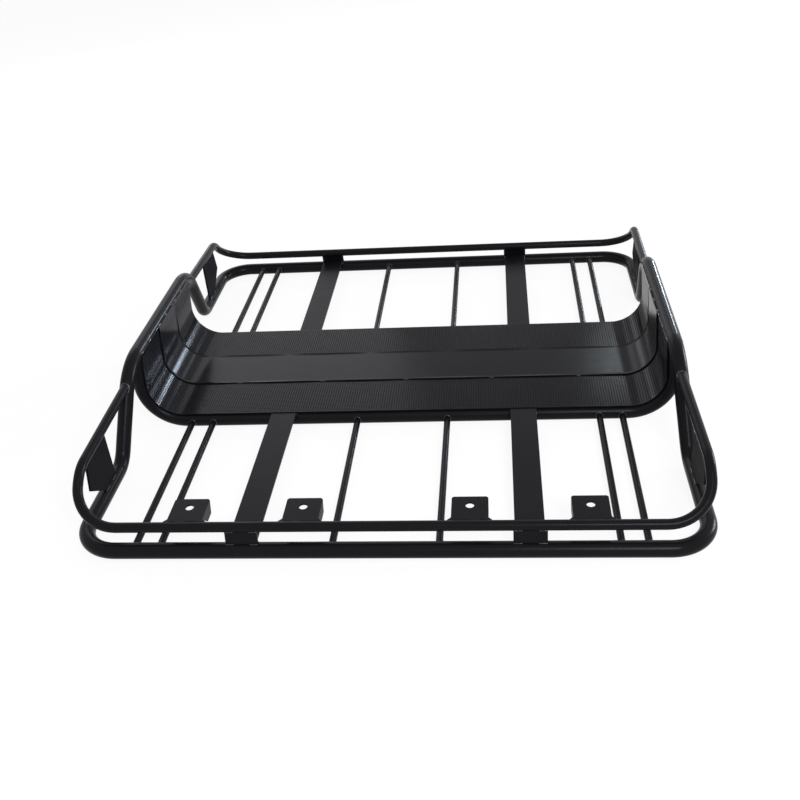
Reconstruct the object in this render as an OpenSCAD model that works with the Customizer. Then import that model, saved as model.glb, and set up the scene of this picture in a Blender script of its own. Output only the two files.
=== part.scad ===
// Roof cargo cage: an all-welded open tray of bent round tube, 1047 x 1107 x 176 mm.
// The origin is on the ground under the middle of the tray. X runs across, from the left side
// to the right side, and -Y is the front edge, which carries the light brackets.

/* [Base loop] */
// Distance between the axes of the left and right side tubes
frame_w = 1020; // [800:10:1400]
// Distance between the axes of the front and rear tubes
frame_d = 1080; // [900:10:1500]
// Outer diameter of the base and cradle tubes
tube_d = 27; // [22:0.5:34]
// Plan radius of the corner bends of the base loop
corner_r = 67; // [50:1:110]

/* [Raised sides] */
// Height of the raised stretch of a side tube above the base loop
raise_h = 149; // [125:1:160]
// How far the raised stretch leans in towards the middle of the tray
raise_in = 13; // [0:1:20]
// Distance of the lower bend of a side tube from the middle of the tray
dip_y = 302; // [295:1:320]
// Distance of the upper bend of a side tube from the middle of the tray
top_y = 202; // [190:1:205]
// Radius of the lower bends
dip_r = 45; // [30:1:60]
// Radius of the upper bends
top_r = 92; // [60:1:120]

/* [Upper rails] */
// Outer diameter of the upper rails
rail_d = 17; // [14:0.5:22]
// Height of the long run of a rail above the base loop
rail_h = 41; // [34:1:56]
// How far the long run of a rail stands in from the base loop
rail_in = 9; // [4:1:14]
// Height of the shoulder of a rail above the base loop
shoulder_h = 106; // [85:1:112]
// Distance of the shoulder of a rail from the middle of the tray
shoulder_y = 458; // [430:1:462]
// How far the shoulders of a rail stand in from the side tubes
shoulder_in = 4; // [0:1:8]
// Radius of the corner bends of a rail
rail_corner_r = 70; // [50:1:75]
// Radius of the shoulder bends
shoulder_r = 60; // [30:1:70]

/* [Cradle] */
// Distance of the cradle tubes from the middle of the tray
cradle_y = 156; // [146:1:162]
// Radius of the upswept ends of the cradle
cradle_r = 80; // [70:1:110]
// Width of one of the three strips of the cradle floor
strip_w = 110; // [100:1:112]
// Thickness of the cradle floor
sheet_t = 1.6; // [1:0.1:2.5]
// How far the middle strip laps over the strips beside it
lap = 8; // [4:1:12]

/* [Slats] */
// Diameter of the round slats
rod_d = 12; // [8:0.5:16]
// Distance of the outer, middle and inner rods from the centre line
rod_x = [412, 370, 86];
// Width of the flat slats
flat_w = 48; // [40:1:60]
// Thickness of the flat slats
flat_t = 4; // [3:0.5:6]
// Distance of the flat slats from the centre line
flat_x = 229; // [180:1:280]

/* [Plates and brackets] */
// Width of the plates between the base loop and the rails, at the flat slats
end_plate_w = 53; // [44:1:64]
// Thickness of those plates and of the side plates
plate_t = 4; // [3:0.5:6]
// Length of a side plate along the side of the tray, from its inner edge to its knee
side_plate_l = 99; // [80:1:104]
// Width of a light bracket
bracket_w = 59; // [50:1:70]
// Reach of a light bracket inwards from its rail
bracket_l = 62; // [50:1:70]
// Thickness of a light bracket
bracket_t = 3; // [2:0.5:4]
// Depth of the side flanges of a light bracket
flange_h = 21; // [12:1:26]
// Diameter of the lamp hole in a bracket
lamp_hole_d = 14; // [8:0.5:18]
// Distance of the lamp hole from the rail
lamp_hole_y = 40; // [30:1:46]
// Distance of the outer and inner brackets from the centre line
bracket_x = [325, 135];

/* [Hidden] */
$fn = 64;

tube_r = tube_d / 2;
rail_r = rail_d / 2;
rod_r = rod_d / 2;
side_x = frame_w / 2;
end_y = frame_d / 2;
// Heights above the ground of the axes of the base loop, the raised sides and the rails
base_z = tube_r;
raised_z = base_z + raise_h;
rail_z = base_z + rail_h;
shoulder_z = base_z + shoulder_h;
rail_y = end_y - rail_in;
shoulder_x = side_x - shoulder_in;
// A bar laid over a tube is seated this deep into it, as its weld is
seat = 0.5;
flat_z = base_z + tube_r - seat;
floor_z = flat_z + flat_t;

black = [0.10, 0.10, 0.11];
satin_black = [0.15, 0.15, 0.17];

// Vector helpers
function unit(v) = v / norm(v);
function turn(a, b) = acos(max(-1, min(1, unit(a) * unit(b))));
function across(v, u) = unit(v - (v * unit(u)) * unit(u));

// Lays the local Z axis along direction d at a point, with the local X axis towards direction s
module lay_along(at, d, s) {
    z = unit(d);
    x = across(s, d);
    y = cross(z, x);
    multmatrix([
        [x.x, y.x, z.x, at.x],
        [x.y, y.y, z.y, at.y],
        [x.z, y.z, z.z, at.z],
        [0, 0, 0, 1]
    ]) children();
}

module straight(a, b, rad) {
    d = b - a;
    lay_along(a, d, abs(unit(d).x) < 0.9 ? [1, 0, 0] : [0, 1, 0]) cylinder(h = norm(d), r = rad);
}

// Bent bars are worked out from the corner points p of their axis and the bend radius r at each
// corner, as the list that a tube bender follows: [straight length, roll, bend angle, bend radius]
function leg(p, i) = p[i + 1] - p[i];
function bend_angle(p, i) = i < 1 || i > len(p) - 2 ? 0 : turn(leg(p, i - 1), leg(p, i));
function setback(p, r, i) = r[i] * tan(bend_angle(p, i) / 2);
function bend_side(p, i) = across(leg(p, i), leg(p, i - 1));
// The direction that the side of bend i points in once the bar has gone round it
function side_after(p, i) =
    cos(bend_angle(p, i)) * bend_side(p, i) - sin(bend_angle(p, i)) * unit(leg(p, i - 1));
function roll(p, i) = i < 2 ? 0
    : let (a = side_after(p, i - 1), b = bend_side(p, i))
      atan2(cross(a, b) * unit(leg(p, i - 1)), a * b);
function bender_list(p, r) = [
    for (i = [1 : len(p) - 1])
        [norm(leg(p, i - 1)) - setback(p, r, i - 1) - setback(p, r, i),
         i < len(p) - 1 ? roll(p, i) : 0, bend_angle(p, i), r[i]]
];

// One step of the list and all that follow it: along +Z, then round towards +X. The first child
// is the section of the straights. The second, a trace slimmer, is that of the bends, which
// start inside the straights so that the two overlap.
overlap = 1;
slim = 0.03;

module bender_step(steps, i) {
    s = steps[i];
    last = len(steps) - 1;
    lead = i > 0 ? overlap : 0;
    tail = i < last ? overlap : 0;
    translate([0, 0, -lead]) linear_extrude(lead + s[0] + tail) children(0);
    if (i < last)
        translate([0, 0, s[0]]) rotate([0, 0, s[1]]) translate([s[3], 0, 0]) {
            rotate([90, 0, 180]) rotate_extrude(angle = s[2]) translate([s[3], 0]) children(1);
            rotate([0, s[2], 0]) translate([-s[3], 0, 0]) bender_step(steps, i + 1) {
                children(0);
                children(1);
            }
        }
}

module bent_bar(p, r) {
    lay_along(p[0], leg(p, 0), bend_side(p, 1)) bender_step(bender_list(p, r), 0) {
        children(0);
        children(1);
    }
}

module bent_tube(p, r, rad) {
    bent_bar(p, r) {
        circle(r = rad);
        circle(r = rad - slim);
    }
}

// Base loop: each end piece runs a little way past its corner bends, to the side tubes
split_y = end_y - corner_r - 20;

module base_end() {
    bent_tube(
        [[-side_x, split_y, base_z], [-side_x, end_y, base_z],
         [side_x, end_y, base_z], [side_x, split_y, base_z]],
        [0, corner_r, corner_r, 0], tube_r);
}

// The side tube on side s: level, up to the raised stretch, along it, and down again
raised_x = side_x - raise_in;
function side_path(s) = [
    [s * side_x, -split_y, base_z], [s * side_x, -dip_y, base_z], [s * raised_x, -top_y, raised_z],
    [s * raised_x, top_y, raised_z], [s * side_x, dip_y, base_z], [s * side_x, split_y, base_z]
];

module side_tube(s) {
    bent_tube(side_path(s), [0, dip_r, top_r, top_r, dip_r, 0], tube_r);
}

module base_tube_front() { color(black) mirror([0, 1, 0]) base_end(); }
module base_tube_rear() { color(black) base_end(); }
module side_tube_left() { color(black) side_tube(-1); }
module side_tube_right() { color(black) side_tube(1); }

// Upper rails: each runs along its end, sweeps up round the corners to a shoulder over the
// side tube, and goes on almost level to the side tube's upper bend, where it is coped to it
join_h = 122;
join_x = side_x - raise_in * join_h / raise_h;
join_y = dip_y - (dip_y - top_y) * join_h / raise_h - 6;

module upper_rail() {
    difference() {
        bent_tube(
            [[-join_x, join_y, base_z + join_h], [-shoulder_x, shoulder_y, shoulder_z],
             [-shoulder_x, rail_y, rail_z], [shoulder_x, rail_y, rail_z],
             [shoulder_x, shoulder_y, shoulder_z], [join_x, join_y, base_z + join_h]],
            [0, shoulder_r, rail_corner_r, rail_corner_r, shoulder_r, 0], rail_r);
        side_tube(-1);
        side_tube(1);
    }
}

module upper_rail_front() { color(black) mirror([0, 1, 0]) upper_rail(); }
module upper_rail_rear() { color(black) upper_rail(); }

// Cradle tubes: they stop a little short of the axis of the raised side tubes, so that the horns
// of the cope keep some thickness
horn = 3;
horn_x = raised_x + raise_in * horn / raise_h;

module cradle_tube() {
    difference() {
        bent_tube(
            [[-horn_x, cradle_y, raised_z - horn], [-side_x, cradle_y, base_z],
             [side_x, cradle_y, base_z], [horn_x, cradle_y, raised_z - horn]],
            [0, cradle_r, cradle_r, 0], tube_r);
        for (s = [-1, 1])
            straight([s * raised_x, -top_y, raised_z], [s * raised_x, top_y, raised_z], tube_r);
    }
}

module cradle_tube_front() { color(black) mirror([0, 1, 0]) cradle_tube(); }
module cradle_tube_rear() { color(black) cradle_tube(); }

// A strip of the cradle floor, centred on y, w wide and z0 above the flat slats: level in the
// middle and swept up at both ends to the raised side tubes, which it is coped to
floor_gap = floor_z - base_z - tube_r + sheet_t / 2;
floor_x = side_x - tube_r - floor_gap;
floor_r = cradle_r - tube_r - floor_gap;
lip_x = raised_x - tube_r + seat - sheet_t / 2;

module floor_strip(y, w, z0) {
    z = floor_z + sheet_t / 2 + z0;
    difference() {
        bent_bar(
            [[-lip_x + z0, y, raised_z + 2], [-floor_x + z0, y, z],
             [floor_x - z0, y, z], [lip_x - z0, y, raised_z + 2]],
            [0, floor_r - z0, floor_r - z0, 0]) {
            square([sheet_t, w], center = true);
            square([sheet_t - slim, w - slim], center = true);
        }
        for (s = [-1, 1])
            straight([s * raised_x, -top_y, raised_z], [s * raised_x, top_y, raised_z], tube_r);
    }
}

mesh_w = strip_w + lap;
mesh_y = strip_w - lap / 2;

module cradle_mesh_front() { color(satin_black) floor_strip(-mesh_y, mesh_w, 0); }
module cradle_mesh_rear() { color(satin_black) floor_strip(mesh_y, mesh_w, 0); }
module cradle_floor_middle() { color(satin_black) floor_strip(0, strip_w, sheet_t); }

// Slats
module flat_slat(x) {
    difference() {
        translate([x - flat_w / 2, -end_y, flat_z]) cube([flat_w, frame_d, flat_t]);
        for (y = [-end_y, -cradle_y, cradle_y, end_y])
            straight([x - flat_w, y, base_z], [x + flat_w, y, base_z], tube_r);
    }
}

module flat_slat_left() { color(black) flat_slat(-flat_x); }
module flat_slat_right() { color(black) flat_slat(flat_x); }

// Rods, from the left: they butt into the base loop and the cradle tube, coped to both
function rod_place(i) = i <= 3 ? -rod_x[i - 1] : rod_x[6 - i];

module rod(i) {
    x = rod_place(i);
    difference() {
        straight([x, cradle_y, base_z], [x, end_y, base_z], rod_r);
        for (y = [cradle_y, end_y])
            straight([x - rod_d, y, base_z], [x + rod_d, y, base_z], tube_r);
    }
}

module front_rod(i) { color(black) mirror([0, 1, 0]) rod(i); }
module rear_rod(i) { color(black) rod(i); }

// Plates that stand on the base loop at the ends of the flat slats and carry the rail
module end_plate(x) {
    difference() {
        translate([x, 0, 0]) rotate([90, 0, 90])
            translate([0, 0, -end_plate_w / 2]) linear_extrude(end_plate_w)
                polygon([[end_y, base_z], [end_y + plate_t, base_z],
                         [rail_y + plate_t, rail_z], [rail_y, rail_z]]);
        straight([x - flat_w, end_y, base_z], [x + flat_w, end_y, base_z], tube_r);
        straight([x - flat_w, rail_y, rail_z], [x + flat_w, rail_y, rail_z], rail_r);
    }
}

module end_plate_rear_left() { color(black) end_plate(-flat_x); }
module end_plate_rear_right() { color(black) end_plate(flat_x); }
module end_plate_front_left() { color(black) mirror([0, 1, 0]) end_plate(-flat_x); }
module end_plate_front_right() { color(black) mirror([0, 1, 0]) end_plate(flat_x); }

// Side plates: each stands on the level stretch of a side tube and reaches up to the rail over
// it. The top edge follows the axis of the rail and the inner top corner is cut off. The outer
// edge leans out from its foot to a knee, and back in from there to the rail.
plate_in_y = shoulder_y - 110;
plate_foot_y = plate_in_y + side_plate_l / 2;
plate_knee_y = plate_in_y + side_plate_l;
plate_top_y = plate_knee_y - 14;
plate_knee_h = 50;
plate_cut = 12;
function rail_axis_z(y) =
    shoulder_z + (shoulder_y - y) * (base_z + join_h - shoulder_z) / (shoulder_y - join_y);

module side_plate(s) {
    difference() {
        translate([s * shoulder_x - plate_t / 2, 0, 0]) rotate([90, 0, 90]) linear_extrude(plate_t)
            polygon([[plate_in_y, base_z], [plate_foot_y, base_z],
                     [plate_foot_y, base_z + tube_r], [plate_knee_y, base_z + plate_knee_h],
                     [plate_top_y, rail_axis_z(plate_top_y)],
                     [plate_in_y + plate_cut, rail_axis_z(plate_in_y + plate_cut)],
                     [plate_in_y, rail_axis_z(plate_in_y) - rail_d]]);
        side_tube(s);
        upper_rail();
    }
}

module side_plate_rear_left() { color(black) side_plate(-1); }
module side_plate_rear_right() { color(black) side_plate(1); }
module side_plate_front_left() { color(black) mirror([0, 1, 0]) side_plate(-1); }
module side_plate_front_right() { color(black) mirror([0, 1, 0]) side_plate(1); }

// Light brackets
function bracket_place(i) = i <= 2 ? -bracket_x[i - 1] : bracket_x[4 - i];

// The bracket is a tab with two slots beside the rail, welded to it by its ears and between the
// slots, and a flange turned down along either side. Its origin is on the axis of the rail.
ear = 6;
corner_cut = 3;
slot_w = 3;
slot_y = rail_r + 1;
bracket_y = rail_r + bracket_l;

module bracket_tab() {
    half = bracket_w / 2;
    difference() {
        translate([0, 0, -bracket_t / 2]) linear_extrude(bracket_t) difference() {
            polygon([[-half - ear, 0], [half + ear, 0], [half + ear, slot_y + slot_w],
                     [half, slot_y + slot_w + ear], [half, bracket_y - corner_cut],
                     [half - corner_cut, bracket_y], [corner_cut - half, bracket_y],
                     [-half, bracket_y - corner_cut], [-half, slot_y + slot_w + ear],
                     [-half - ear, slot_y + slot_w]]);
            translate([-half + bracket_t, slot_y]) square([half - bracket_t, slot_w]);
            translate([half / 2, slot_y]) square([half / 3, slot_w]);
        }
        translate([0, rail_r + lamp_hole_y, -bracket_t])
            cylinder(h = 2 * bracket_t, d = lamp_hole_d);
    }
}

module bracket_flange(s) {
    translate([s * (bracket_w - bracket_t) / 2 - bracket_t / 2, 0, 0])
        rotate([90, 0, 90]) linear_extrude(bracket_t)
            polygon([[slot_y + slot_w + ear, 0], [bracket_y - corner_cut, 0],
                     [bracket_y - corner_cut - ear, -flange_h],
                     [slot_y + slot_w + ear + flange_h, -flange_h]]);
}

module light_bracket(i) {
    x = bracket_place(i);
    color(black) translate([x, -rail_y, rail_z]) mirror([x > 0 ? 0 : 1, 0, 0]) difference() {
        union() {
            bracket_tab();
            bracket_flange(-1);
            bracket_flange(1);
        }
        straight([-bracket_w, 0, 0], [bracket_w, 0, 0], rail_r);
    }
}

base_tube_front();
base_tube_rear();
side_tube_left();
side_tube_right();
upper_rail_front();
upper_rail_rear();
cradle_tube_front();
cradle_tube_rear();
cradle_mesh_front();
cradle_floor_middle();
cradle_mesh_rear();
flat_slat_left();
flat_slat_right();
front_rod(1);  // front_rod_1
front_rod(2);  // front_rod_2
front_rod(3);  // front_rod_3
front_rod(4);  // front_rod_4
front_rod(5);  // front_rod_5
front_rod(6);  // front_rod_6
rear_rod(1);  // rear_rod_1
rear_rod(2);  // rear_rod_2
rear_rod(3);  // rear_rod_3
rear_rod(4);  // rear_rod_4
rear_rod(5);  // rear_rod_5
rear_rod(6);  // rear_rod_6
end_plate_front_left();
end_plate_front_right();
end_plate_rear_left();
end_plate_rear_right();
side_plate_front_left();
side_plate_front_right();
side_plate_rear_left();
side_plate_rear_right();
light_bracket(1);  // light_bracket_1
light_bracket(2);  // light_bracket_2
light_bracket(3);  // light_bracket_3
light_bracket(4);  // light_bracket_4
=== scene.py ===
"""Dresses the welded roof cargo cage: powder coat, pitted cradle strips, weld beads, studio."""

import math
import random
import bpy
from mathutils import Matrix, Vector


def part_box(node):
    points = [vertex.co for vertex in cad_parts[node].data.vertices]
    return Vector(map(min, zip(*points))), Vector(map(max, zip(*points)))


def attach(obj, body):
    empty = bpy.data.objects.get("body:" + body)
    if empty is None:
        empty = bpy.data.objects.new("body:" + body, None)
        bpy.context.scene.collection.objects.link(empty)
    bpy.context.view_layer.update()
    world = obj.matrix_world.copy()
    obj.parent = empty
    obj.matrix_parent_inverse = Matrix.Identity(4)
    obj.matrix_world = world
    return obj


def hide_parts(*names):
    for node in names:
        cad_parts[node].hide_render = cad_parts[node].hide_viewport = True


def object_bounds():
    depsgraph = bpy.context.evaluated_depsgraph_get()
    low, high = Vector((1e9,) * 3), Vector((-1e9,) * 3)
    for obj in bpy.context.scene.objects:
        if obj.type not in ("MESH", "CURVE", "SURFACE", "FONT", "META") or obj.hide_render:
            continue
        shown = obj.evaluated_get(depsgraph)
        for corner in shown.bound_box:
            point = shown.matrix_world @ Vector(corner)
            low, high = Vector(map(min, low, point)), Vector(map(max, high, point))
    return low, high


bl_info = {
    "name": "Roof Cargo Cage",
    "version": (1, 0, 0),
    "blender": (4, 5, 0),
    "location": "View3D > Sidebar > Cargo Cage",
    "description": "Powder coat, pitted cradle strips, weld beads and a studio for the cargo cage",
    "category": "Object",
}

import bmesh
import bpy
from mathutils import Vector
from mathutils.bvhtree import BVHTree

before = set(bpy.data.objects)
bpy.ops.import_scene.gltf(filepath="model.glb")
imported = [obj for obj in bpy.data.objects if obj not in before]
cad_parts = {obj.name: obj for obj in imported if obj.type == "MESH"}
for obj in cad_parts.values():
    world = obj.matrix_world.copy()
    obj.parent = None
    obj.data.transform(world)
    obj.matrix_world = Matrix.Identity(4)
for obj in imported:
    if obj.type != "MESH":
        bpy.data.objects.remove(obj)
CAD_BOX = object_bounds()

# Places of the tubes' axes, from the CAD's own boxes and the radii that it was drawn with
BASE_LOW, BASE_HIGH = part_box("base_tube_front")
TUBE_R = BASE_HIGH.z / 2
SIDE_X = BASE_HIGH.x - TUBE_R
END_Y = -BASE_LOW.y - TUBE_R
BASE_Z = TUBE_R
RAISED_Z = CAD_BOX[1][2] - TUBE_R
# How far the raised stretch of a side tube leans in over its whole rise
LEAN_IN = 0.013
RAISED_X = SIDE_X - LEAN_IN
CRADLE_Y = 0.156
RAIL_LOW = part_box("upper_rail_front")[0]
RAIL_R = 0.0085
RAIL_Y = -RAIL_LOW.y - RAIL_R
RAIL_Z = RAIL_LOW.z + RAIL_R
# The last two corners of a rail's axis before it meets the side tube
SHOULDER = (SIDE_X - 0.004, 0.458, BASE_Z + 0.106)
RAIL_JOIN = (SIDE_X - 0.01064, 0.2141, BASE_Z + 0.122)
# The cradle's outer sheets. In their bends: where the two straight lines would cross, the
# radius, and where the sheet lies against the raised side tube
FLOOR_LOW, FLOOR_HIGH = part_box("cradle_mesh_rear")
FOOT_X = SIDE_X - TUBE_R - 0.0043
BEND_R = 0.0622
LIP_X = SIDE_X - TUBE_R - 0.0133

# The two ends and the two sides of the cage, with their signs along Y and along X
ENDS = (("front", -1), ("rear", 1))
SIDES = (("left", -1), ("right", 1))


# Settings


class CageFinishSettings(bpy.types.PropertyGroup):
    tube_colour: bpy.props.StringProperty(
        name="Tube colour", description="sRGB hex of the powder coat on tubes and plates",
        default="#151518")
    sheet_colour: bpy.props.StringProperty(
        name="Sheet colour", description="sRGB hex of the coat on the sheets of the cradle",
        default="#16161a")
    tube_roughness: bpy.props.FloatProperty(
        name="Tube roughness", description="Middle roughness of the coat on the tubes",
        default=0.24, min=0.1, max=0.9, subtype="FACTOR")
    bar_roughness: bpy.props.FloatProperty(
        name="Bar roughness", description="Middle roughness of the coat on flat bars and plates",
        default=0.34, min=0.1, max=0.9, subtype="FACTOR")
    sheet_roughness: bpy.props.FloatProperty(
        name="Sheet roughness", description="Middle roughness of the coat on the sheets",
        default=0.18, min=0.1, max=0.9, subtype="FACTOR")
    tread_roughness: bpy.props.FloatProperty(
        name="Tread roughness", description="Middle roughness of the coat on the pitted strips",
        default=0.15, min=0.1, max=0.9, subtype="FACTOR")


class CageStripSettings(bpy.types.PropertyGroup):
    pitch: bpy.props.FloatProperty(
        name="Pitch", description="Distance between the pits of the tread", default=0.00475,
        min=0.003, max=0.02, subtype="DISTANCE")
    pit: bpy.props.FloatProperty(
        name="Pit", description="Width of one pit", default=0.0032, min=0.001, max=0.01,
        subtype="DISTANCE")
    depth: bpy.props.FloatProperty(
        name="Depth", description="Depth of one pit", default=0.0011, min=0.0002, max=0.0015,
        subtype="DISTANCE")
    sheet: bpy.props.FloatProperty(
        name="Thickness", description="Thickness of the sheet", default=0.0016, min=0.0008,
        max=0.004, subtype="DISTANCE")


class CagePlateSettings(bpy.types.PropertyGroup):
    edge: bpy.props.FloatProperty(
        name="Edge", description="How far the coat rounds a plate's cut edges", default=0.0005,
        min=0.0001, max=0.002, subtype="DISTANCE")


class CageWeldSettings(bpy.types.PropertyGroup):
    tube_bead: bpy.props.FloatProperty(
        name="Tube bead", description="Radius of the beads round the tubes", default=0.0020,
        min=0.001, max=0.005, subtype="DISTANCE")
    rod_bead: bpy.props.FloatProperty(
        name="Rod bead", description="Radius of the beads round the rods", default=0.0015,
        min=0.001, max=0.004, subtype="DISTANCE")
    sheet_bead: bpy.props.FloatProperty(
        name="Sheet bead", description="Radius of the stitches along the sheets",
        default=0.0013, min=0.0005, max=0.004, subtype="DISTANCE")
    tack_gap: bpy.props.FloatProperty(
        name="Tack gap", description="Distance between the tacks along the middle strip",
        default=0.17, min=0.02, max=0.5, subtype="DISTANCE")
    ripple: bpy.props.FloatProperty(
        name="Ripple", description="Distance between the ripples of a bead", default=0.0022,
        min=0.001, max=0.005, subtype="DISTANCE")


class CageStudioSettings(bpy.types.PropertyGroup):
    camera_place: bpy.props.FloatVectorProperty(
        name="Camera place", description="Where the camera stands", size=3,
        default=(0.187035, -1.670184, 1.016954), subtype="TRANSLATION")
    camera_turn: bpy.props.FloatVectorProperty(
        name="Camera turn", description="XYZ turn of the camera", size=3,
        default=(math.radians(57.498764), math.radians(4.223631), math.radians(4.466443)),
        subtype="EULER")
    lens: bpy.props.FloatProperty(
        name="Lens", description="Focal length on a 36 mm sensor", default=42.798, min=10, max=200)
    floor_colour: bpy.props.StringProperty(
        name="Floor colour", description="sRGB hex of the studio floor", default="#f8f8f8")


# Helpers


def linear(hex_text):
    """The linear RGBA of an sRGB hex colour."""
    out = []
    for i in (1, 3, 5):
        c = int(hex_text[i:i + 2], 16) / 255
        out.append(c / 12.92 if c <= 0.04045 else ((c + 0.055) / 1.055) ** 2.4)
    return (*out, 1.0)


def settings(name):
    return getattr(bpy.context.scene, name)


def put(tree, kind, values=None, links=None, **options):
    """Adds a shader node with its options, its socket values and its links."""
    node = tree.nodes.new(kind)
    for key, value in options.items():
        setattr(node, key, value)
    for key, value in (values or {}).items():
        node.inputs[key].default_value = value
    for key, source in (links or {}).items():
        tree.links.new(source, node.inputs[key])
    return node


def new_material(name):
    material = bpy.data.materials.new(name)
    material.use_nodes = True
    material.node_tree.nodes.clear()
    return material, material.node_tree


def only(*objects):
    """Selects these objects alone, with the first one active."""
    for other in list(bpy.context.selected_objects):
        other.select_set(False)
    for thing in objects:
        thing.select_set(True)
    bpy.context.view_layer.objects.active = objects[0] if objects else None


def edit_all(piece):
    """Opens one piece in edit mode with all of it selected."""
    only(piece)
    bpy.ops.object.mode_set(mode="EDIT")
    bpy.ops.mesh.select_all(action="SELECT")


def leave_edit():
    bpy.ops.object.mode_set(mode="OBJECT")


def smooth_below(piece, degrees):
    """Shades a piece smooth, and keeps the edges sharper than this."""
    only(piece)
    bpy.ops.object.shade_smooth_by_angle(angle=math.radians(degrees))


def apply_modifier(piece, kind, **options):
    only(piece)
    modifier = piece.modifiers.new(kind.title(), kind)
    for key, value in options.items():
        setattr(modifier, key, value)
    bpy.ops.object.modifier_apply(modifier=modifier.name)


def dress(piece, material):
    piece.data.materials.clear()
    piece.data.materials.append(material)
    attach(piece, "root")


# Finishes

# Across one patch of thicker film, and across one wiped or handled spot
PATCH_SIZE, WIPED_SIZE = 0.070, 0.028
# How far the film's thickness darkens and lightens the colour
DARKEST, LIGHTEST = 0.86, 1.16
# How far a wiped spot is from the middle roughness, below and above
GLOSSIER, DULLER = 0.05, 0.06
PEEL_HEIGHT = 0.00012


def powder_coat(name, hex_text, roughness, peel_mm=1.6, shine=0.08):
    """Polyester powder coat, sprayed dry on bare steel and baked. It levels into a fine orange
    peel, so its highlights are soft and slightly broken, and it hides the steel's colour."""
    material, tree = new_material(name)
    where = put(tree, "ShaderNodeTexCoord").outputs["Object"]
    # Uneven film thickness shows as broad, faint patches
    patches = put(tree, "ShaderNodeTexNoise", {"Scale": 1 / PATCH_SIZE, "Detail": 3.0},
                  {"Vector": where})
    dark, light = ((*(c * share for c in linear(hex_text)[:3]), 1)
                   for share in (DARKEST, LIGHTEST))
    tone = put(tree, "ShaderNodeMix", {"A": dark, "B": light},
               {"Factor": patches.outputs["Fac"]}, data_type="RGBA")
    # Wiped and handled areas differ a little in gloss
    wiped = put(tree, "ShaderNodeTexNoise", {"Scale": 1 / WIPED_SIZE, "Detail": 4.0},
                {"Vector": where})
    gloss = put(tree, "ShaderNodeMapRange",
                {"To Min": roughness - GLOSSIER, "To Max": roughness + DULLER},
                {"Value": wiped.outputs["Fac"]})
    # Orange peel, drawn at its real 1 to 2 mm
    peel = put(tree, "ShaderNodeTexNoise",
               {"Scale": 1000 / peel_mm, "Detail": 2.0, "Roughness": 0.45}, {"Vector": where})
    bump = put(tree, "ShaderNodeBump", {"Strength": 0.35, "Distance": PEEL_HEIGHT},
               {"Height": peel.outputs["Fac"]})
    shader = put(tree, "ShaderNodeBsdfPrincipled", {"IOR": 1.45, "Specular IOR Level": shine},
                 {"Base Color": tone.outputs["Result"], "Roughness": gloss.outputs["Result"],
                  "Normal": bump.outputs["Normal"]})
    put(tree, "ShaderNodeOutputMaterial", links={"Surface": shader.outputs["BSDF"]})
    return material


class CAGE_OT_coat_frame(bpy.types.Operator):
    """Coats every piece of the CAD, the sheets a little glossier than the tubes. Later steps
    make the strips, the flat bars, the plates and the brackets anew and coat those themselves"""

    bl_idname = "cage.coat_frame"
    bl_label = "Coat the frame"

    def execute(self, context):
        finish = settings("cage_finish")
        tubes = powder_coat("satin powder coat on tube", finish.tube_colour, finish.tube_roughness)
        sheet = powder_coat("satin powder coat on sheet", finish.sheet_colour,
                            finish.sheet_roughness, peel_mm=2.0)
        for name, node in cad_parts.items():
            coat = sheet if name.startswith("cradle_") and "tube" not in name else tubes
            for place in node.material_slots:
                place.material = coat
        return {"FINISHED"}


# Cradle strips

# Steps in each bend of the sheets
BEND_STEPS = 30
# What a tread strip keeps clear of pits along its length and across it, both margins together
PLAIN_LENGTH, PLAIN_WIDTH = 0.008, 0.003
# Points closer than this to a rim belong to it
NEAR_RIM = 0.0002

# The middle strip: how many faces it has along and across, how far its edges curl in from the
# rim and how sharply, and the least and the most that they stand off between two tacks
FACES_ALONG, FACES_ACROSS = 240, 50
CURL_WIDTH, CURL_SHARPNESS = 0.006, 1.5
LEAST_LIFT, MOST_LIFT = 0.0008, 0.0014
# Its tacks: how many lie on each side of the middle one, how far apart their ripples are, and
# how far they sit out from the edge and over the sheet below
TACKS_EACH_WAY = 2
TACK_STEP, TACK_OUT, TACK_UP = 0.0015, 0.0004, 0.0006


def cradle_path():
    """The middle line of a strip in the X-Z plane, from the left lip to the right one: a level
    run, a bend at either end and a leaning lip that lies against the raised side tube."""
    level_z = FLOOR_LOW.z + settings("cage_strips").sheet / 2
    lip_x, lip_z = LIP_X, FLOOR_HIGH.z
    rise = Vector((lip_x - FOOT_X, lip_z - level_z)).normalized()
    turn = math.acos(rise.x)
    start = FOOT_X - BEND_R * math.tan(turn / 2)
    turns = [turn * i / BEND_STEPS for i in range(BEND_STEPS + 1)]
    half = [(start + BEND_R * math.sin(a), level_z + BEND_R * (1 - math.cos(a))) for a in turns]
    half.append((lip_x, lip_z))
    return [(-x, z) for x, z in reversed(half)] + half


def path_length(path):
    return sum(math.dist(a, b) for a, b in zip(path, path[1:]))


def pull_out(sheet, chosen):
    """Extrudes the edges between the chosen points, and leaves the new ones ready to move."""
    mesh = sheet.data
    for v, is_chosen in zip(mesh.vertices, chosen):
        v.select = is_chosen
    for e in mesh.edges:
        e.select = all(chosen[i] for i in e.vertices)
    for face in mesh.polygons:
        face.select = False
    bpy.ops.object.mode_set(mode="EDIT")
    bpy.ops.mesh.select_mode(type="EDGE")
    bpy.ops.mesh.extrude_edges_move()


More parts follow.
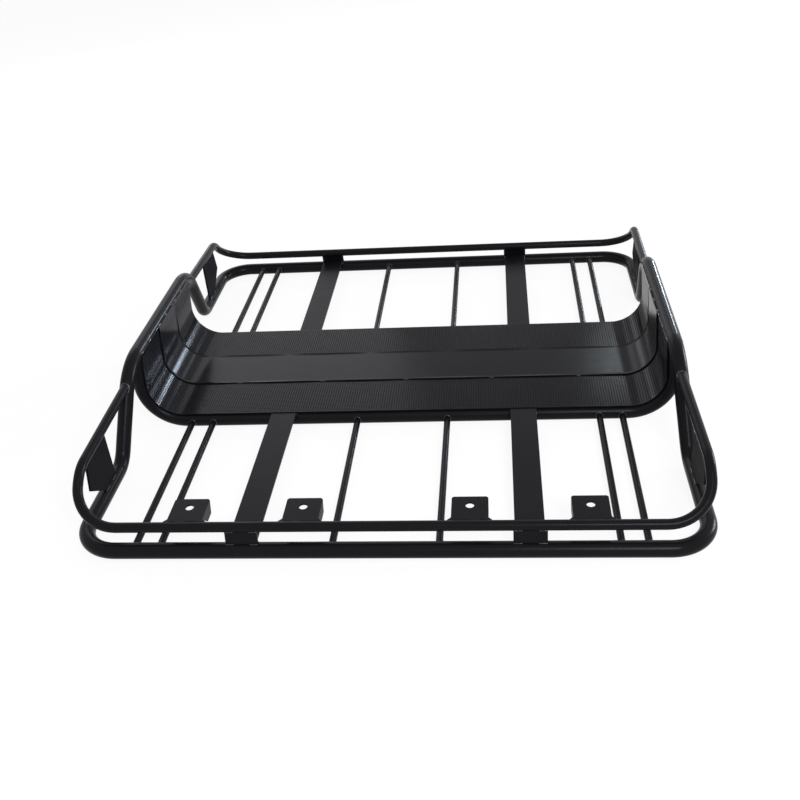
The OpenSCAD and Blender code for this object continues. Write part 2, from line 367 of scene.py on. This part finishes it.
def sheet_of_cells(name, columns, rows):
    """A flat pitted face: one square cell with an eight-sided blind pit, arrayed both ways."""
    made = settings("cage_strips")
    only()
    bpy.ops.mesh.primitive_circle_add(vertices=8, radius=made.pit / 2, fill_type="TRIFAN")
    sheet = bpy.context.object
    sheet.name = name
    pull_out(sheet, [v.co.length > made.pit / 4 for v in sheet.data.vertices])
    # Well clear of the pit, to tell the new ring of points by its distance
    bpy.ops.transform.resize(value=(3, 3, 3))
    leave_edit()
    # That ring goes out to the cell's corners and the middles of its sides, and the centre sinks
    for v in sheet.data.vertices:
        if v.co.length > made.pit:
            v.co = Vector([round(c / v.co.length) * made.pitch / 2 for c in v.co[:2]] + [0])
        elif v.co.length < made.pit / 4:
            v.co.z = -made.depth
    for count, step in ((columns, (made.pitch, 0, 0)), (rows, (0, made.pitch, 0))):
        apply_modifier(sheet, "ARRAY", count=count, use_relative_offset=False,
                       use_constant_offset=True, constant_offset_displace=step,
                       use_merge_vertices=True, merge_threshold=0.0001)
    edit_all(sheet)
    bpy.ops.transform.translate(value=((1 - columns) * made.pitch / 2,
                                       (1 - rows) * made.pitch / 2, made.sheet / 2))
    leave_edit()
    return sheet


def add_margin(sheet, axis, half, edge):
    """Extrudes the sheet's two rims across an axis, from half out to edge, as plain margins."""
    for side in (-1, 1):
        shift = [0, 0, 0]
        shift[axis] = side * (edge - half)
        pull_out(sheet, [abs(v.co[axis] - side * half) < NEAR_RIM for v in sheet.data.vertices])
        bpy.ops.transform.translate(value=shift)
        leave_edit()


def add_underside(sheet, length, width):
    """Closes the pitted face with walls round its rim and a plain underside, which follows the
    bends because it is cut across at every point of its two long edges."""
    thick = settings("cage_strips").sheet
    mesh = bmesh.new()
    mesh.from_mesh(sheet.data)
    rim = [e for e in mesh.edges if e.is_boundary]
    walls = bmesh.ops.extrude_edge_only(mesh, edges=rim)
    low = [v for v in walls["geom"] if isinstance(v, bmesh.types.BMVert)]
    bmesh.ops.translate(mesh, verts=low, vec=(0, 0, -thick))
    end_x, long_y = length / 2 - NEAR_RIM / 2, width / 2 - NEAR_RIM / 2
    ends = [v for v in low if abs(v.co.x) > end_x and abs(v.co.y) < long_y]
    bmesh.ops.dissolve_verts(mesh, verts=ends)
    low = [v for v in low if v.is_valid]
    front, rear = (sorted((v for v in low if v.co.y * side > long_y), key=lambda v: v.co.x)
                   for side in (-1, 1))
    for a, b, c, d in zip(front, front[1:], rear[1:], rear):
        mesh.faces.new((a, d, c, b))
    bmesh.ops.recalc_face_normals(mesh, faces=mesh.faces)
    if any(e.is_boundary for e in mesh.edges):
        raise RuntimeError("the tread has an open edge")
    mesh.to_mesh(sheet.data)
    mesh.free()


def quarter_turn(way):
    """Turns the selection a quarter round the X axis: what lies along Y goes to Z for way 1, and
    what lies along Z goes to Y for way -1. With no window the operator turns the other way, so
    the angle's sign is turned round too."""
    bpy.ops.transform.rotate(value=math.radians(-90 * way), orient_axis="X",
                             center_override=(0, 0, 0))


def bend_along(sheet, path, y_middle):
    """Bends a flat sheet along a path in the X-Z plane, with a flat curve as its guide. Its top
    face ends up on the inner side of the bends."""
    guide_data = bpy.data.curves.new("bend guide", "CURVE")
    guide_data.dimensions = "2D"
    spline = guide_data.splines.new("POLY")
    spline.points.add(len(path) - 1)
    for point, (x, z) in zip(spline.points, path):
        point.co = (x, z, 0, 1)
    guide = bpy.data.objects.new("bend guide", guide_data)
    bpy.context.scene.collection.objects.link(guide)
    edit_all(sheet)
    bpy.ops.transform.translate(value=(path_length(path) / 2, 0, 0))
    quarter_turn(-1)
    leave_edit()
    apply_modifier(sheet, "CURVE", object=guide, deform_axis="POS_X")
    bpy.data.objects.remove(guide)
    edit_all(sheet)
    quarter_turn(1)
    bpy.ops.transform.translate(value=(0, y_middle, 0))
    leave_edit()


class CAGE_OT_tread_strips(bpy.types.Operator):
    """Makes the front and rear strips of the cradle with their grid of small pits"""

    bl_idname = "cage.tread_strips"
    bl_label = "Roll the tread strips"

    def execute(self, context):
        made, finish = settings("cage_strips"), settings("cage_finish")
        coat = powder_coat("satin powder coat on tread", finish.sheet_colour,
                           finish.tread_roughness, peel_mm=2.0)
        path = cradle_path()
        length = path_length(path)
        width = FLOOR_HIGH.y - FLOOR_LOW.y
        columns = int((length - PLAIN_LENGTH) / made.pitch)
        rows = int((width - PLAIN_WIDTH) / made.pitch)
        flat = sheet_of_cells("tread_strip_rear", columns, rows)
        add_margin(flat, 1, rows * made.pitch / 2, width / 2)
        add_margin(flat, 0, columns * made.pitch / 2, length / 2)
        add_underside(flat, length, width)
        twin = flat.copy()
        twin.data = flat.data.copy()
        twin.name = "tread_strip_front"
        bpy.context.scene.collection.objects.link(twin)
        middle = (FLOOR_HIGH.y + FLOOR_LOW.y) / 2
        for strip, y, node in ((flat, middle, "cradle_mesh_rear"),
                               (twin, -middle, "cradle_mesh_front")):
            bend_along(strip, path, y)
            smooth_below(strip, 20)
            dress(strip, coat)
            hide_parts(node)
        return {"FINISHED"}


class CAGE_OT_middle_strip(bpy.types.Operator):
    """Rolls the plain middle strip. It lies on the tread strips, held by tacks, and between them
    its long edges stand off a little, which draws the dark lines along it"""

    bl_idname = "cage.middle_strip"
    bl_label = "Roll the middle strip"

    def execute(self, context):
        thick, gap = settings("cage_strips").sheet, settings("cage_welds").tack_gap
        path = cradle_path()
        length = path_length(path)
        low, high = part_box("cradle_floor_middle")
        width = high.y - low.y
        only()
        bpy.ops.mesh.primitive_grid_add(x_subdivisions=FACES_ALONG, y_subdivisions=FACES_ACROSS,
                                        size=1)
        strip = context.object
        strip.name = "middle_strip_rolled"
        for v in strip.data.vertices:
            x, y = v.co.x * length, v.co.y * width
            curl = max(0, 1 - (width / 2 - abs(y)) / CURL_WIDTH) ** CURL_SHARPNESS
            # Its top face lies one sheet over that of the tread strips
            v.co = (x, y, 1.5 * thick + curl * self.stand_off(x / gap, y > 0))
        apply_modifier(strip, "SOLIDIFY", thickness=thick, offset=-1)
        bend_along(strip, path, 0)
        smooth_below(strip, 50)
        dress(strip, bpy.data.materials["satin powder coat on sheet"])
        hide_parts("cradle_floor_middle")

        # The tacks sit in the corner under the edges, on the level part of the cradle, and those
        # of the rear edge half a gap further to the right
        runs = []
        top = FLOOR_LOW.z + thick + TACK_UP
        for side in (-1, 1):
            for number in range(-TACKS_EACH_WAY, TACKS_EACH_WAY + 1):
                x = (number + 0.5 * (side > 0)) * gap
                runs.append([Vector((x + step * TACK_STEP, side * (width / 2 + TACK_OUT), top))
                             for step in range(-3, 4)])
        lay_beads("middle_strip_tacks", runs, settings("cage_welds").sheet_bead)
        return {"FINISHED"}

    def stand_off(self, place, rear):
        """How far an edge is lifted at a place, which is counted in tack gaps: nothing at the
        tacks, beside which it rises steeply, and by its own amount in every span."""
        # Counted from beyond the strip's left end, so that each span has a number of its own
        place += 10 - 0.5 * rear
        span = random.Random(int(place) + 40 * rear)
        return math.sin(math.pi * (place % 1)) ** 0.6 * span.uniform(LEAST_LIFT, MOST_LIFT)


# Plates and bars with rounded edges

# Points closer than this are one point
SAME = 0.00001


class CAGE_OT_rounded_plates(bpy.types.Operator):
    """Breaks the sharp edges of the flat bars, the plates and the brackets"""

    bl_idname = "cage.rounded_plates"
    bl_label = "Round the plate edges"

    def execute(self, context):
        finish, edge = settings("cage_finish"), settings("cage_plates").edge
        bars = powder_coat("satin powder coat on bar", finish.tube_colour, finish.bar_roughness)
        # Much matter than the bars, so that a side plate stays dark at a shallow angle too
        plates = powder_coat("matt powder coat on side plate", finish.tube_colour,
                             finish.bar_roughness + 0.2, shine=0.02)
        for name, node in sorted(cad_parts.items()):
            if not ("slat" in name or "_plate_" in name or "bracket" in name):
                continue
            piece = node.copy()
            piece.data = node.data.copy()
            piece.name = name + "_rounded"
            context.scene.collection.objects.link(piece)
            edit_all(piece)
            bpy.ops.mesh.customdata_custom_splitnormals_clear()
            bpy.ops.mesh.remove_doubles(threshold=SAME)
            bpy.ops.mesh.dissolve_limited(angle_limit=math.radians(0.5))
            leave_edit()
            smooth_below(piece, 32)
            apply_modifier(piece, "BEVEL", width=edge, segments=2, limit_method="ANGLE",
                           angle_limit=math.radians(50), harden_normals=True)
            dress(piece, plates if "side_plate" in name else bars)
            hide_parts(name)
        return {"FINISHED"}


# Weld beads

# A bead's line is looked for this far outside the face that it runs along
CLEAR = 0.0002
# Every other point of a bead swells and sinks to these shares of its radius, its ends taper to
# another, and each point strays from them by chance
SWELL, SINK, TAPER, STRAY = 1.0, 0.86, 0.55, 0.06


def skin(node):
    """A search tree over a CAD node's faces, to find where things meet it."""
    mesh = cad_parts[node].data
    return BVHTree.FromPolygons([v.co for v in mesh.vertices],
                                [face.vertices for face in mesh.polygons])


def meet(tree, start, direction):
    """Where a straight line from start first meets a skin, or None."""
    return tree.ray_cast(Vector(start), Vector(direction).normalized())[0]


def seam(tree, start, end, direction):
    """Points along a skin, below a straight line from start to end seen along direction."""
    start, end = Vector(start), Vector(end)
    count = max(3, round((end - start).length / (settings("cage_welds").ripple / 2)))
    points = [meet(tree, start.lerp(end, i / count), direction) for i in range(count + 1)]
    return [point for point in points if point]


def bar_end(tree, start, direction, bar_r):
    """Points round the end of a bar, where its side meets a skin that lies along direction."""
    d = Vector(direction).normalized()
    up = Vector((0, 0, 1)) if abs(d.z) < 0.9 else Vector((0, 1, 0))
    u = up.cross(d).normalized()
    v = d.cross(u)
    count = 2 * round(math.pi * bar_r / settings("cage_welds").ripple)
    turns = [2 * math.pi * i / count for i in range(count)]
    return [meet(tree, Vector(start) + bar_r * (math.cos(a) * u + math.sin(a) * v), d)
            for a in turns]


def lay_beads(name, runs, radius, closed=False):
    """Makes one piece of all the weld beads of a kind. Each run is the points of one bead, which
    swells and sinks from point to point, as its ripples do. Closed beads join up with
    themselves."""
    hand = random.Random(len(runs))
    curve = bpy.data.curves.new(name, "CURVE")
    curve.dimensions = "3D"
    curve.bevel_depth = radius
    curve.bevel_resolution = 2
    curve.use_fill_caps = True
    for points in runs:
        spline = curve.splines.new("POLY")
        spline.points.add(len(points) - 1)
        spline.use_cyclic_u = closed
        for i, (point, place) in enumerate(zip(spline.points, points)):
            point.co = (*place, 1)
            at_end = not closed and i in (0, len(points) - 1)
            share = TAPER if at_end else SWELL if i % 2 else SINK
            point.radius = share * hand.uniform(1 - STRAY, 1 + STRAY)
    piece = bpy.data.objects.new(name, curve)
    bpy.context.scene.collection.objects.link(piece)
    only(piece)
    bpy.ops.object.convert(target="MESH")
    piece = bpy.context.object
    edit_all(piece)
    bpy.ops.mesh.remove_doubles(threshold=SAME)
    bpy.ops.mesh.normals_make_consistent(inside=False)
    leave_edit()
    bpy.ops.object.shade_smooth()
    dress(piece, coated_weld())
    return piece


def coated_weld():
    """Powder coat over a weld bead. The bead's ripples are in its mesh, and the coat pools in
    them, so it is glossier than on the tubes and the ripples glint."""
    finish = settings("cage_finish")
    return bpy.data.materials.get("powder coat over weld") or powder_coat(
        "powder coat over weld", finish.tube_colour, finish.tube_roughness - 0.12, peel_mm=1.2,
        shine=0.6)


class CAGE_OT_rod_welds(bpy.types.Operator):
    """Welds the round rods to the base loop and the cradle tubes, all the way round"""

    bl_idname = "cage.rod_welds"
    bl_label = "Weld the rods"

    def execute(self, context):
        runs = []
        for end, e in ENDS:
            base, cradle = skin("base_tube_" + end), skin("cradle_tube_" + end)
            for number in range(1, 7):
                low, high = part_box(f"{end}_rod_{number}")
                middle = ((low.x + high.x) / 2, (low.y + high.y) / 2, BASE_Z)
                rod_r = (high.x - low.x) / 2
                runs += [bar_end(tube, middle, (0, way, 0), rod_r)
                         for tube, way in ((base, e), (cradle, -e))]
        lay_beads("rod_weld_beads", runs, settings("cage_welds").rod_bead, closed=True)
        return {"FINISHED"}


class CAGE_OT_tube_welds(bpy.types.Operator):
    """Welds the upper rails and the cradle tubes to the side tubes"""

    bl_idname = "cage.tube_welds"
    bl_label = "Weld the tubes"

    def execute(self, context):
        rails, tubes = [], []
        # Each joint is looked for from a point on the way to it, this share of the last stretch
        rail_share, cradle_share = 0.8, 0.6
        # The cradle's ring is drawn a hair inside its tube, to meet the side tube all round. The
        # sheet hides the inner side of that joint, so the bead ends this far in from the middle
        inside, hidden = 0.0003, 0.004
        for name, s in SIDES:
            tube = skin("side_tube_" + name)
            for _, e in ENDS:
                mirror = Vector((s, e, 1))
                shoulder, join = Vector(SHOULDER) * mirror, Vector(RAIL_JOIN) * mirror
                rails.append(bar_end(tube, shoulder.lerp(join, rail_share), join - shoulder,
                                     RAIL_R))
                foot = Vector((s * SIDE_X, e * CRADLE_Y, BASE_Z))
                top = Vector((s * RAISED_X, e * CRADLE_Y, RAISED_Z))
                ring = bar_end(tube, foot.lerp(top, cradle_share), top - foot, TUBE_R - inside)
                outer = [p and s * p.x > RAISED_X - hidden for p in ring]
                first = next(i for i in range(len(ring)) if outer[i] and not outer[i - 1])
                turned = ring[first:] + ring[:first]
                kept = outer[first:] + outer[:first]
                tubes.append(turned[:kept.index(False)])
        lay_beads("rail_weld_beads", rails, settings("cage_welds").rod_bead, closed=True)
        lay_beads("cradle_tube_weld_beads", tubes, settings("cage_welds").tube_bead)
        return {"FINISHED"}


class CAGE_OT_plate_welds(bpy.types.Operator):
    """Stitches the flat bars, the end plates, the side plates and the brackets"""

    bl_idname = "cage.plate_welds"
    bl_label = "Weld the plates"

    def execute(self, context):
        runs = []
        for end, e in ENDS:
            base, cradle = skin("base_tube_" + end), skin("cradle_tube_" + end)
            rail = skin("upper_rail_" + end)
            for name, _ in SIDES:
                runs += self.beside_bar(name, e, base, cradle)
                runs += self.on_end_plate(end, name, e, base, rail)
                runs += self.on_side_plate(end, name, e, skin("side_tube_" + name), rail)
        runs += self.at_brackets(skin("upper_rail_front"))
        lay_beads("plate_weld_beads", [run for run in runs if len(run) > 3],
                  settings("cage_welds").rod_bead)
        return {"FINISHED"}

    def beside_bar(self, name, e, base, cradle):
        """Fillets beside a flat bar, over the crown of each tube, looked for from above."""
        low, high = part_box("flat_slat_" + name)
        above, down = 0.06, (0, 0, -1)
        return [seam(tree, (x, y0, above), (x, y1, above), down)
                for x in (low.x - CLEAR, high.x + CLEAR)
                for tree, y0, y1 in (
                    (base, e * (END_Y - 0.010), e * END_Y),
                    (cradle, e * CRADLE_Y - 0.008, e * CRADLE_Y + 0.008))]

    def on_end_plate(self, end, name, e, base, rail):
        """Corners of an end plate, along its outer face, looked for from its middle height."""
        low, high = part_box(f"end_plate_{end}_{name}")
        rise, lean, stitch = 0.041, 0.009, 0.014
        y, z = e * (END_Y + CLEAR), BASE_Z + rise / 2
        return [seam(tree, (x0, y, z), (x1, y, z), (0, -e * way * lean, way * rise))
                for x0, x1 in ((low.x, low.x + stitch), (high.x - stitch, high.x))
                for tree, way in ((base, -1), (rail, 1))]

    def on_side_plate(self, end, name, e, tube, rail):
        """Both ends of a side plate's foot and of its top, on both faces, looked for from
        between the tube and the rail."""
        low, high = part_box(f"side_plate_{end}_{name}")
        near, far = sorted((abs(low.y), abs(high.y)))
        between = 0.08
        return [seam(tree, (x, e * y0, between), (x, e * y1, between), (0, 0, way))
                for x in (low.x - CLEAR, high.x + CLEAR)
                for y0, y1, tree, way in (
                    (near + 0.002, near + 0.018, tube, -1),
                    (near + 0.033, near + 0.049, tube, -1),
                    (near + 0.014, near + 0.032, rail, 1),
                    (far - 0.034, far - 0.016, rail, 1))]

    def at_brackets(self, rail):
        """Three stitches along the rail at each bracket: at both of its ends and beside its
        middle, looked for from inside the tray, a little above the rail's middle."""
        runs = []
        y, z = -RAIL_Y + 0.012, RAIL_Z + 0.0017
        for number in range(1, 5):
            low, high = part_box(f"light_bracket_{number}")
            middle, s = (low.x + high.x) / 2, 1 if low.x > 0 else -1
            for x0, x1 in ((-0.035, -0.027), (0.001, 0.0135), (0.026, 0.035)):
                start, end = (middle + s * x0, y, z), (middle + s * x1, y, z)
                runs.append(seam(rail, start, end, (0, -1, 0)))
        return runs


class CAGE_OT_sheet_welds(bpy.types.Operator):
    """Stitches the upper edges of the cradle's sheets to the raised side tubes"""

    bl_idname = "cage.sheet_welds"
    bl_label = "Weld the sheets"

    def execute(self, context):
        runs = []
        # Half a stitch, and where it is looked for: over the lip and a little inside of it
        half, height, inside = 0.006, FLOOR_HIGH.z + 0.0006, 0.006
        for name, s in SIDES:
            tube, x = skin("side_tube_" + name), s * (LIP_X - inside)
            for y in (-0.155, -0.108, -0.062, -0.045, 0.0, 0.045, 0.062, 0.108, 0.155):
                runs.append(seam(tube, (x, y - half, height), (x, y + half, height), (s, 0, 0)))
        lay_beads("sheet_weld_beads", runs, settings("cage_welds").sheet_bead)
        return {"FINISHED"}


# Studio

# Name, place, width and height in metres, watts and tint. The tubes and sheets mirror them: the
# low window as the streak in the cradle's left bend, the others behind as the sheen on its level
# part, and the last two as highlights on the right and along the near tubes
LAMPS = (
    ("low window behind on the right", (2.45, 4.2, 1.0), (0.25, 0.9), 56.0, "#dcebff"),
    ("soft panel behind on the left", (-1.65, 3.2, 2.25), (2.7, 1.3), 17.0, "#f8f4ff"),
    ("low panel behind on the left", (-1.5, 3.4, 0.9), (0.9, 0.6), 4.0, "#f4f8ff"),
    ("far window behind", (0.95, 3.45, 2.05), (0.35, 0.35), 2.6, "#eefaff"),
    ("window on the right", (3.8, 1.5, 0.8), (1.3, 1.0), 90.0, "#eef4ff"),
    ("panel over the camera", (0.95, -2.4, 1.9), (0.9, 1.0), 42.0, "#f6f8ff"),
)
WHITE = (1, 1, 1, 1)
FLOOR_SIZE, FLOOR_Z = 60, -0.0005
# How much of the floor that is seen is glow and not paper, and how strong the glow is
GLOW_SHARE, GLOW = 0.85, 1.05
# The world as it lights things, and as it is seen
WORLD_LIGHT, WORLD_SEEN = 0.5, 1.0


class CAGE_OT_studio(bpy.types.Operator):
    """Sets the camera, the pale floor, the lamps and the world"""

    bl_idname = "cage.studio"
    bl_label = "Set the studio"

    def execute(self, context):
        studio, scene = settings("cage_studio"), context.scene
        self.set_camera(studio, scene)
        only()
        bpy.ops.mesh.primitive_plane_add(size=FLOOR_SIZE, location=(0, 0, FLOOR_Z))
        floor = context.object
        floor.name = "studio_floor"
        floor.data.materials.append(self.floor_material(studio.floor_colour))
        for lamp in LAMPS:
            self.hang_lamp(scene, *lamp)
        self.set_world(scene)
        scene.view_settings.view_transform = "Standard"
        return {"FINISHED"}

    def set_camera(self, studio, scene):
        camera_data = bpy.data.cameras.new("camera")
        camera_data.lens, camera_data.sensor_width = studio.lens, 36
        camera = bpy.data.objects.new("camera", camera_data)
        camera.location, camera.rotation_euler = studio.camera_place, studio.camera_turn
        scene.collection.objects.link(camera)
        scene.camera = camera

    def hang_lamp(self, scene, name, place, size, power, tint):
        """Hangs one lamp, turned to the middle of the cage and out of the camera's sight."""
        lamp_data = bpy.data.lights.new(name, "AREA")
        lamp_data.shape = "RECTANGLE"
        lamp_data.size, lamp_data.size_y = size
        lamp_data.energy = power
        lamp_data.color = linear(tint)[:3]
        lamp = bpy.data.objects.new(name, lamp_data)
        lamp.location = place
        lamp.rotation_euler = (-Vector(place)).to_track_quat("-Z", "Y").to_euler()
        lamp.visible_camera = False
        scene.collection.objects.link(lamp)

    def set_world(self, scene):
        world = bpy.data.worlds.new("studio world")
        scene.world = world
        world.use_nodes = True
        tree = world.node_tree
        tree.nodes.clear()
        dim, white = (put(tree, "ShaderNodeBackground", {"Color": WHITE, "Strength": strength})
                      for strength in (WORLD_LIGHT, WORLD_SEEN))
        both = put(tree, "ShaderNodeMixShader", links={
            "Fac": self.seen(tree), 1: dim.outputs["Background"],
            2: white.outputs["Background"]})
        put(tree, "ShaderNodeOutputWorld", links={"Surface": both.outputs["Shader"]})

    def seen(self, tree):
        """1 for camera, glossy and transmission rays, 0 for the light that falls on things."""
        ray = put(tree, "ShaderNodeLightPath").outputs
        first = put(tree, "ShaderNodeMath", operation="MAXIMUM",
                    links={0: ray["Is Camera Ray"], 1: ray["Is Glossy Ray"]})
        second = put(tree, "ShaderNodeMath", operation="MAXIMUM",
                     links={0: first.outputs["Value"], 1: ray["Is Transmission Ray"]})
        return second.outputs["Value"]

    def floor_material(self, hex_text):
        """Matt white backdrop paper. What is seen of it is lifted to white, and keeps a soft
        shadow; the light that it throws on the object is that of the plain paper."""
        material, tree = new_material("matt white backdrop paper")
        paper = put(tree, "ShaderNodeBsdfDiffuse", {"Color": linear(hex_text)})
        glow = put(tree, "ShaderNodeEmission", {"Color": WHITE, "Strength": GLOW})
        lifted = put(tree, "ShaderNodeMixShader", {"Fac": GLOW_SHARE},
                     {1: paper.outputs["BSDF"], 2: glow.outputs["Emission"]})
        both = put(tree, "ShaderNodeMixShader", links={
            "Fac": self.seen(tree), 1: paper.outputs["BSDF"], 2: lifted.outputs["Shader"]})
        put(tree, "ShaderNodeOutputMaterial", links={"Surface": both.outputs["Shader"]})
        return material


# Panel and main


class CAGE_PT_panel(bpy.types.Panel):
    """Lists the steps that dress the cage"""

    bl_idname = "CAGE_PT_panel"
    bl_label = "Cargo Cage"
    bl_space_type = "VIEW_3D"
    bl_region_type = "UI"
    bl_category = "Cargo Cage"

    def draw(self, context):
        for group in GROUPS:
            box = self.layout.box()
            for key in GROUPS[group].__annotations__:
                box.prop(getattr(context.scene, group), key)
        for step in STEPS:
            self.layout.operator(step.bl_idname)


GROUPS = {"cage_finish": CageFinishSettings, "cage_strips": CageStripSettings,
          "cage_plates": CagePlateSettings, "cage_welds": CageWeldSettings,
          "cage_studio": CageStudioSettings}
STEPS = (CAGE_OT_coat_frame, CAGE_OT_tread_strips, CAGE_OT_middle_strip, CAGE_OT_rounded_plates,
         CAGE_OT_rod_welds, CAGE_OT_tube_welds, CAGE_OT_plate_welds, CAGE_OT_sheet_welds,
         CAGE_OT_studio)


def register():
    for name, group in GROUPS.items():
        bpy.utils.register_class(group)
        setattr(bpy.types.Scene, name, bpy.props.PointerProperty(type=group))
    for step in STEPS:
        bpy.utils.register_class(step)
    bpy.utils.register_class(CAGE_PT_panel)


def unregister():
    bpy.utils.unregister_class(CAGE_PT_panel)
    for step in reversed(STEPS):
        bpy.utils.unregister_class(step)
    for name, group in reversed(GROUPS.items()):
        delattr(bpy.types.Scene, name)
        bpy.utils.unregister_class(group)


def main():
    register()
    bpy.ops.cage.coat_frame()
    bpy.ops.cage.tread_strips()
    bpy.ops.cage.middle_strip()
    bpy.ops.cage.rounded_plates()
    bpy.ops.cage.rod_welds()
    bpy.ops.cage.tube_welds()
    bpy.ops.cage.plate_welds()
    bpy.ops.cage.sheet_welds()
    bpy.ops.cage.studio()


if __name__ == "__main__":
    main()
